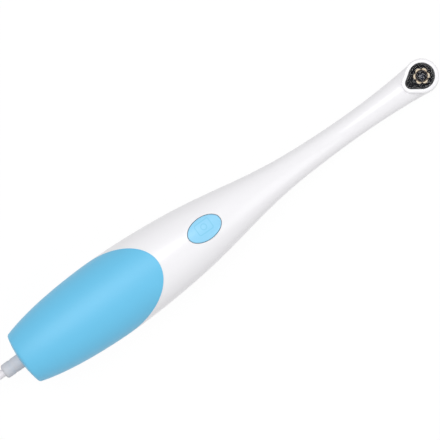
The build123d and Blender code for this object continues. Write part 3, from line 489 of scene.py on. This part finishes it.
WHITE_SHELL = Finish("white_shell", srgb(243, 242, 245), 0.30, shade=0.985, grain_mm=0.0015, coat=0.35)
SOFT_SLEEVE = Finish("soft_sleeve", srgb(104, 196, 236), 0.46, shade=0.95, grain_per_mm=9.0, sheen=0.15)
BUTTON = ButtonFinish("button", srgb(144, 212, 246), 0.34, shade=0.97, grain_mm=0.002, coat=0.2)
JACKET = Finish("lead", srgb(234, 232, 237), 0.42, shade=0.95, grain_mm=0.003)
RELIEF = Finish("grey_rubber", srgb(205, 207, 214), 0.55, shade=0.90, grain_mm=0.006)
BLACK_PLASTIC = Finish("black_plastic", srgb(34, 34, 38), 0.50, shade=0.75, grain_mm=0.006)
BLACK_METAL = Finish("black_metal", srgb(30, 28, 32), 0.60, shade=0.8, grain_mm=0.001, specular=0.1)
LIGHT_BOARD = Finish("light_board", srgb(26, 26, 31), 0.70, shade=0.85, grain_mm=0.001, specular=0.05)
COVER_GLASS = ClearFinish("cover_glass", srgb(20, 22, 28), 0.06, coat=0.2)
LENS_GLASS = ClearFinish("lens_glass", srgb(36, 40, 62), 0.70, coat=0.2)
# The pale colours of the lamp and the light ring are the painted highlight on each reflector.
LAMP = LampFinish("lamp", srgb(255, 226, 150), 0.40, shade=0.93, grain_mm=0.002)
LIGHT_RING = LampFinish("light_ring", srgb(247, 232, 204), 0.35, shade=0.92, grain_mm=0.002)
BOARD = Finish("circuit_board", srgb(24, 104, 66), 0.36, shade=0.8, patch_per_mm=0.5)
CHIP = Finish("chip", srgb(40, 40, 43), 0.60, shade=0.8)
SENSOR = Finish("sensor", srgb(58, 62, 84), 0.12, shade=0.7, grain_per_mm=3.0, coat=0.8)
STEEL = Finish("steel", srgb(190, 190, 194), 0.30, metallic=1.0, stretch=(1.0, 1.0, 8.0))
PLATED = Finish("plated_steel", srgb(205, 205, 208), 0.22, metallic=1.0, stretch=(0.2, 6.0, 6.0))
GOLD = Finish("contacts", srgb(226, 186, 104), 0.28, metallic=1.0)
CREAM = Finish("cream_plastic", srgb(232, 227, 212), 0.45)
RIBBON = Finish("ribbon", srgb(196, 126, 46), 0.30, shade=0.85, stretch=(0.1, 4.0, 1.0), coat=0.3)
WIRES = Finish("wires", srgb(170, 44, 40), 0.38)
TIE = Finish("tie", srgb(44, 44, 47), 0.50, shade=0.8, stretch=(6.0, 0.4, 0.4))

AnyFinish = Union[Finish, ClearFinish]

NODE_FINISHES: dict[str, AnyFinish] = {
    "window_gasket": BLACK_PLASTIC,
    "cover_glass": COVER_GLASS,
    "sensor_board": BOARD,
    "image_sensor": SENSOR,
    "lens_holder": BLACK_PLASTIC,
    "ir_filter": LENS_GLASS,
    "rear_lens": LENS_GLASS,
    "lens_spacer": BLACK_METAL,
    "led_board": LIGHT_BOARD,
    "flex_cable": RIBBON,
    "main_board": BOARD,
    "processor_chip": CHIP,
    "crystal": STEEL,
    "memory_chip": CHIP,
    "board_components": CHIP,
    "supply_capacitor": STEEL,
    "tact_switch": BLACK_PLASTIC,
    "switch_plunger": BLACK_PLASTIC,
    "flex_connector": CREAM,
    "cable_header": CREAM,
    "cable_plug_housing": CREAM,
    "inner_cable": JACKET,
    "inner_wires": WIRES,
    "cable_clamp": CREAM,
    "clamp_screws": STEEL,
    "board_screws": STEEL,
    "housing_screws": STEEL,
    "plug_tongue": CREAM,
    "plug_contacts": GOLD,
}


class Workshop:
    """Makes finished objects out of meshes and keeps one material for each finish."""

    def __init__(self) -> None:
        """Start with no materials made."""
        self.materials: dict[str, bpy.types.Material] = {}

    def material(self, finish: AnyFinish) -> bpy.types.Material:
        """Give a finish's material, which is made when it is first asked for.

        Args:
            finish: The finish.

        Returns:
            Its material.
        """
        if finish.name not in self.materials:
            self.materials[finish.name] = finish.make()
        return self.materials[finish.name]

    def dress(self, obj: bpy.types.Object, finish: AnyFinish) -> None:
        """Put one finish on all of an object."""
        obj.data.materials.clear()
        obj.data.materials.append(self.material(finish))

    def piece(
        self,
        name: str,
        mesh: bmesh.types.BMesh,
        finish: AnyFinish,
        body: Body,
        sharp_deg: float,
    ) -> bpy.types.Object:
        """Turn a mesh into a piece with smooth faces and sharp creases.

        Args:
            name: The piece's name.
            mesh: Its mesh, in metres in the frame. It is freed.
            finish: Its finish.
            body: The body that it rides on.
            sharp_deg: The angle past which an edge stays sharp.

        Returns:
            The new object.
        """
        for face in mesh.faces:
            face.smooth = True
        for edge in mesh.edges:
            if len(edge.link_faces) == 2:
                edge.smooth = edge.calc_face_angle(0.0) < math.radians(sharp_deg)
        data = bpy.data.meshes.new(name)
        mesh.to_mesh(data)
        mesh.free()
        obj = bpy.data.objects.new(name, data)
        bpy.context.scene.collection.objects.link(obj)
        self.dress(obj, finish)
        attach(obj, body.value)
        log.info("%s: %d faces", name, len(data.polygons))
        return obj

    def smoothed(
        self,
        node: str,
        finish: AnyFinish,
        sharp_deg: float,
        body: Body = Body.HANDPIECE,
    ) -> bpy.types.Object:
        """Stand a merged, smooth-shaded copy in for a CAD node.

        Args:
            node: The node.
            finish: The copy's finish.
            sharp_deg: The angle past which an edge stays sharp.
            body: The body that it rides on.

        Returns:
            The new object.
        """
        mesh = bmesh.new()
        mesh.from_mesh(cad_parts[node].data)
        bmesh.ops.remove_doubles(mesh, verts=mesh.verts, dist=MERGE_DISTANCE)
        bmesh.ops.recalc_face_normals(mesh, faces=mesh.faces)
        obj = self.piece(node + "_look", mesh, finish, body, sharp_deg)
        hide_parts(node)
        return obj


@dataclass
class ViewPoint:
    """A long lens that looks down on the handpiece, turned and tilted as in the photograph.

    The frame's width is what the picture takes in at the target.
    """

    target: Point = (-4.3, -0.36, 14.0)
    distance: float = 1500.0
    frame_width: float = 172.4
    turn_deg: float = 35.44
    tilt_deg: float = 2.1
    sensor: float = 36.0
    nearest: float = 50.0
    farthest: float = 20000.0

    def build(self) -> None:
        """Make the camera and use it."""
        turn = math.radians(self.turn_deg)
        tilt = math.radians(self.tilt_deg)
        back = Vector((0.0, -math.sin(tilt), math.cos(tilt)))
        right = Vector((math.cos(turn), -math.sin(turn), 0.0))
        up = back.cross(right).normalized()
        right = up.cross(back).normalized()
        data = bpy.data.cameras.new("camera")
        data.sensor_fit = "HORIZONTAL"
        data.sensor_width = self.sensor
        data.lens = self.sensor * self.distance / self.frame_width
        data.clip_start = self.nearest * MM
        data.clip_end = self.farthest * MM
        camera = bpy.data.objects.new("camera", data)
        bpy.context.scene.collection.objects.link(camera)
        rotation = Matrix((right, up, back)).transposed().to_4x4()
        place = Vector(in_metres(self.target)) + back * (self.distance * MM)
        camera.matrix_world = Matrix.Translation(place) @ rotation
        bpy.context.scene.camera = camera


class Shift(Enum):
    """Where along a loop of the hank a change is made."""

    NONE = "none"
    NEAR_RUN = "near run"
    FAR_FOLD = "far fold"
    LOW_RUN = "low run"
    RIGHT_FOLD = "right fold"


@dataclass(frozen=True)
class Loop:
    """One loop of the hank: its radius and layer, and where it moves to the next ones."""

    radius: float
    layer: int
    next_radius: float
    sideways: Shift = Shift.NONE
    climbs: Shift = Shift.NONE


@dataclass
class Lead:
    """The lead: from the strain relief to the floor, wound into a flat hank, and on to its plug.

    A loop has two straight runs and a fold at each end. The layers are the heights of the cord's middle, and
    the tie lift is how far the cord rises over the tie.
    """

    diameter: float = 3.2
    length: float = 1560.0
    start_route: tuple[Point, ...] = (
        (-107.9, 0.0, 14.0),
        (-119.5, 0.0, 14.0),
        (-132.5, 6.0, 8.0),
        (-146.0, 14.4, 1.6),
        (-158.5, 14.4, 1.6),
    )
    end_route: tuple[Point, ...] = (
        (-215.5, 14.4, 11.2),
        (-226.0, 14.4, 11.2),
        (-246.0, 8.0, 3.9),
        (-257.0, 8.0, 3.9),
    )
    centre: tuple[float, float] = (-187.0, 0.0)
    run: float = 36.0
    layers: tuple[float, ...] = (1.6, 4.8, 8.0, 11.2)
    run_steps: int = 4
    fold_steps: int = 8
    tie_lift: float = 0.85
    spline_steps: int = 5
    round_steps: int = 4
    loops: tuple[Loop, ...] = (
        Loop(14.4, 0, 11.2, Shift.RIGHT_FOLD),
        Loop(11.2, 0, 8.0, Shift.RIGHT_FOLD),
        Loop(8.0, 0, 8.0, climbs=Shift.LOW_RUN),
        Loop(8.0, 1, 11.2, Shift.FAR_FOLD),
        Loop(11.2, 1, 14.4, Shift.FAR_FOLD),
        Loop(14.4, 1, 11.2, Shift.RIGHT_FOLD, Shift.NEAR_RUN),
        Loop(11.2, 2, 8.0, Shift.RIGHT_FOLD),
        Loop(8.0, 2, 8.0, climbs=Shift.LOW_RUN),
        Loop(8.0, 3, 11.2, Shift.FAR_FOLD),
        Loop(11.2, 3, 14.4, Shift.FAR_FOLD),
    )

    def straight(self, start: float, end: float, across: float, low: float, high: float) -> list[Point]:
        """Points of one run of a loop, without its last end.

        Args:
            start: Where it starts, along X from the hank's middle.
            end: Where it ends.
            across: Its distance from the hank's middle along Y.
            low: Its height at the start.
            high: Its height at the end.

        Returns:
            The control points, lifted over the tie on the side that the tie is on.
        """
        points = []
        for step in range(self.run_steps):
            share = step / self.run_steps
            lift = self.tie_lift if across < 0 and step > 0 else 0.0
            points.append(
                (
                    self.centre[0] + start + (end - start) * share,
                    self.centre[1] + across,
                    low + (high - low) * share + lift,
                )
            )
        return points

    def fold(self, side: float, first: float, last: float, height: float) -> list[Point]:
        """Points round one end of a loop, without its last end.

        Args:
            side: -1 for the end towards the plug, 1 for the end towards the handpiece.
            first: The radius at the start.
            last: The radius at the end.
            height: Its height.

        Returns:
            The control points, drawn out a little because the spline runs inside them.
        """
        points = []
        for step in range(self.fold_steps):
            share = step / self.fold_steps
            angle = math.radians((90 if side < 0 else 270) + 180 * share)
            out = 1.0 if step == 0 else 1 / math.cos(math.pi / (2 * self.fold_steps))
            radius = (first + (last - first) * share) * out
            points.append(
                (
                    self.centre[0] + side * self.run / 2 + radius * math.cos(angle),
                    self.centre[1] + radius * math.sin(angle),
                    height,
                )
            )
        return points

    def hank(self) -> list[Point]:
        """Points of all the loops, from the lowest layer's outermost to the highest layer's.

        Returns:
            The control points, in millimetres.
        """
        points: list[Point] = []
        half = self.run / 2
        for loop in self.loops:
            height = self.layers[loop.layer]
            above = self.layers[min(loop.layer + 1, len(self.layers) - 1)]
            near_end = above if loop.climbs is Shift.NEAR_RUN else height
            low_end = above if loop.climbs is Shift.LOW_RUN else near_end
            far_radius = loop.next_radius if loop.sideways is Shift.FAR_FOLD else loop.radius
            points += self.straight(half, -half, loop.radius, height, near_end)
            points += self.fold(-1, loop.radius, far_radius, near_end)
            points += self.straight(-half, half, -far_radius, near_end, low_end)
            points += self.fold(1, far_radius, loop.next_radius, low_end)
        last = self.layers[-1]
        points.append((self.centre[0] + half, self.centre[1] + self.loops[-1].next_radius, last))
        return points

    def build(self, shop: Workshop) -> bpy.types.Object:
        """Make the cord as one open spline.

        Args:
            shop: The workshop that dresses it.

        Returns:
            The cord.
        """
        route = [*self.start_route, *self.hank(), *self.end_route]
        curve = bpy.data.curves.new("lead_cord", "CURVE")
        curve.dimensions = "3D"
        spline = curve.splines.new("NURBS")
        spline.points.add(len(route) - 1)
        for point, place in zip(spline.points, route):
            point.co = (*in_metres(place), 1.0)
        spline.order_u = 3
        spline.use_endpoint_u = True
        curve.resolution_u = self.spline_steps
        curve.bevel_depth = self.diameter / 2 * MM
        curve.bevel_resolution = self.round_steps
        curve.use_fill_caps = True
        cord = bpy.data.objects.new("lead_cord", curve)
        bpy.context.scene.collection.objects.link(cord)
        cord.data.materials.append(shop.material(JACKET))
        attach(cord, Body.HANDPIECE.value)
        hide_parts("usb_cable", "cable_hank", "plug_lead")
        log.info("lead_cord: %d points", len(route))
        return cord

    def declare(self) -> None:
        """Turn the cord's first point into metres; the result is not kept.
        """
        in_metres(self.start_route[0])


@dataclass
class StrainRelief:
    """The rubber collar that the lead leaves the handle through.

    Its profile is a list of places along X, each with the collar's radius there.
    """

    axis_z: float = 14.0
    steps: int = 64
    sharp_deg: float = 35.0
    profile: tuple[tuple[float, float], ...] = (
        (-107.9, 1.62),
        (-107.9, 2.3),
        (-107.7, 2.65),
        (-107.35, 2.88),
        (-106.9, 2.98),
        (-104.2, 3.0),
        (-103.9, 2.86),
        (-103.3, 2.86),
        (-103.0, 3.0),
        (-95.3, 3.0),
        (-95.3, 4.7),
        (-93.8, 4.7),
        (-93.8, 1.62),
    )

    def build(self, shop: Workshop) -> bpy.types.Object:
        """Spin the collar's outline about the lead.

        Args:
            shop: The workshop that dresses it.

        Returns:
            The collar.
        """
        mesh = bmesh.new()
        corners = [mesh.verts.new((x * MM, 0.0, (self.axis_z + r) * MM)) for x, r in self.profile]
        edges = [mesh.edges.new(pair) for pair in zip(corners, corners[1:] + corners[:1])]
        bmesh.ops.spin(
            mesh,
            geom=[*corners, *edges],
            cent=(0.0, 0.0, self.axis_z * MM),
            axis=(1.0, 0.0, 0.0),
            angle=2 * math.pi,
            steps=self.steps,
            use_merge=True,
        )
        bmesh.ops.remove_doubles(mesh, verts=mesh.verts, dist=MERGE_DISTANCE)
        bmesh.ops.recalc_face_normals(mesh, faces=mesh.faces)
        relief = shop.piece("relief_collar", mesh, RELIEF, Body.HANDPIECE, self.sharp_deg)
        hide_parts("strain_relief")
        return relief


@dataclass
class Handpiece:
    """The shells, the soft sleeve and the shutter button."""

    sharp_deg: float = 28.0

    def build(self, shop: Workshop) -> None:
        """Make the smooth outside.

        Args:
            shop: The workshop that dresses it.
        """
        shop.smoothed("upper_shell", WHITE_SHELL, self.sharp_deg)
        shop.smoothed("lower_shell", WHITE_SHELL, self.sharp_deg)
        shop.smoothed("rear_sleeve", SOFT_SLEEVE, self.sharp_deg)
        shop.smoothed("shutter_button", BUTTON, self.sharp_deg, Body.SHUTTER)


@dataclass
class LensHead:
    """What shows behind the window: the lens in its barrel and the ring of lamps."""

    sharp_deg: float = 30.0

    def build(self, shop: Workshop) -> None:
        """Make the round pieces smooth.

        Args:
            shop: The workshop that dresses them.
        """
        shop.smoothed("lens_barrel", BLACK_METAL, self.sharp_deg)
        shop.smoothed("front_lens", LENS_GLASS, self.sharp_deg)
        shop.smoothed("light_ring", LIGHT_RING, self.sharp_deg)
        shop.smoothed("leds", LAMP, self.sharp_deg)


@dataclass
class Plug:
    """The plug at the lead's far end and the tie round the hank."""

    sharp_deg: float = 30.0

    def build(self, shop: Workshop) -> list[bpy.types.Object]:
        """Make the plug and the tie.

        Args:
            shop: The workshop that dresses them.

        Returns:
            The pieces that are on the lead.
        """
        return [
            shop.smoothed("cable_tie", TIE, self.sharp_deg),
            shop.smoothed("plug_overmould", JACKET, self.sharp_deg),
            shop.smoothed("plug_shell", PLATED, self.sharp_deg),
            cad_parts["plug_tongue"],
            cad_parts["plug_contacts"],
        ]


@dataclass
class Studio:
    """A pale floor, an even sky and soft lamps.

    The camera, metal and glass see the sky and most of the floor as white. The light on the object comes from
    the lamps and a dimmer sky.
    """

    floor_half: float = 3000.0
    floor_z: float = -0.2
    floor_colour: Colour = (0.6, 0.6, 0.6)
    floor_glow: float = 1.04
    glow_share: float = 0.92
    sky_strength: float = 0.47
    lamp_size: float = 1100.0
    key_power: float = 14.0
    key_place: Point = (-250.0, 350.0, 1600.0)
    fill_power: float = 5.0
    fill_place: Point = (900.0, -700.0, 900.0)

    def sky(self) -> None:
        """Light the scene evenly and show white behind it."""
        world = bpy.data.worlds.new("studio_sky")
        nodes = Nodes(world)
        light = nodes.node("ShaderNodeBackground", inputs={"Color": WHITE, "Strength": self.sky_strength})
        seen = nodes.node("ShaderNodeBackground", inputs={"Color": WHITE, "Strength": 1.0})
        mix = nodes.node(
            "ShaderNodeMixShader", inputs={0: nodes.seen_plainly(), 1: nodes.out(light), 2: nodes.out(seen)}
        )
        nodes.node("ShaderNodeOutputWorld", inputs={"Surface": nodes.out(mix)})
        bpy.context.scene.world = world

    def floor_material(self) -> bpy.types.Material:
        """Make the floor's pale matt surface, which looks white apart from a faint shadow.

        Returns:
            The material.
        """
        material = bpy.data.materials.new("studio_floor")
        nodes = Nodes(material)
        matt = nodes.node("ShaderNodeBsdfDiffuse", inputs={"Color": (*self.floor_colour, 1.0)})
        glow = nodes.node("ShaderNodeEmission", inputs={"Color": WHITE, "Strength": self.floor_glow})
        mix = nodes.node(
            "ShaderNodeMixShader",
            inputs={0: nodes.seen_plainly() * self.glow_share, 1: nodes.out(matt), 2: nodes.out(glow)},
        )
        nodes.node("ShaderNodeOutputMaterial", inputs={"Surface": nodes.out(mix)})
        return material

    def floor(self) -> None:
        """Lay the floor."""
        mesh = bmesh.new()
        bmesh.ops.create_grid(mesh, x_segments=1, y_segments=1, size=self.floor_half * MM)
        bmesh.ops.translate(mesh, verts=mesh.verts, vec=(0.0, 0.0, self.floor_z * MM))
        data = bpy.data.meshes.new("studio_floor")
        mesh.to_mesh(data)
        mesh.free()
        data.materials.append(self.floor_material())
        floor = bpy.data.objects.new("studio_floor", data)
        bpy.context.scene.collection.objects.link(floor)

    def lamp(self, name: str, place: Point, power: float) -> None:
        """Hang one square lamp that faces the handpiece.

        Args:
            name: The lamp's name.
            place: Where it hangs.
            power: Its power in watts.
        """
        data = bpy.data.lights.new(name, "AREA")
        data.energy = power
        data.size = self.lamp_size * MM
        lamp = bpy.data.objects.new(name, data)
        bpy.context.scene.collection.objects.link(lamp)
        lamp.location = in_metres(place)
        lamp.rotation_euler = (-Vector(place)).to_track_quat("-Z", "Y").to_euler()

    def build(self) -> None:
        """Make the sky, the floor and the lamps."""
        self.sky()
        self.floor()
        self.lamp("key_lamp", self.key_place, self.key_power)
        self.lamp("fill_lamp", self.fill_place, self.fill_power)
        bpy.context.scene.view_settings.view_transform = "Standard"


def main() -> None:
    """Build every sub-assembly round the frame."""
    logging.basicConfig(level=logging.INFO, format="%(name)s: %(message)s")
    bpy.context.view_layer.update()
    ViewPoint().build()
    shop = Workshop()
    lead = Lead()
    cord = lead.build(shop)
    plug_pieces = Plug().build(shop)
    lead.declare()
    StrainRelief().build(shop)
    Handpiece().build(shop)
    LensHead().build(shop)
    for node, finish in NODE_FINISHES.items():
        shop.dress(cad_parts[node], finish)
    Studio().build()
    log.info("sizes written")


if __name__ == "__main__":
    main()
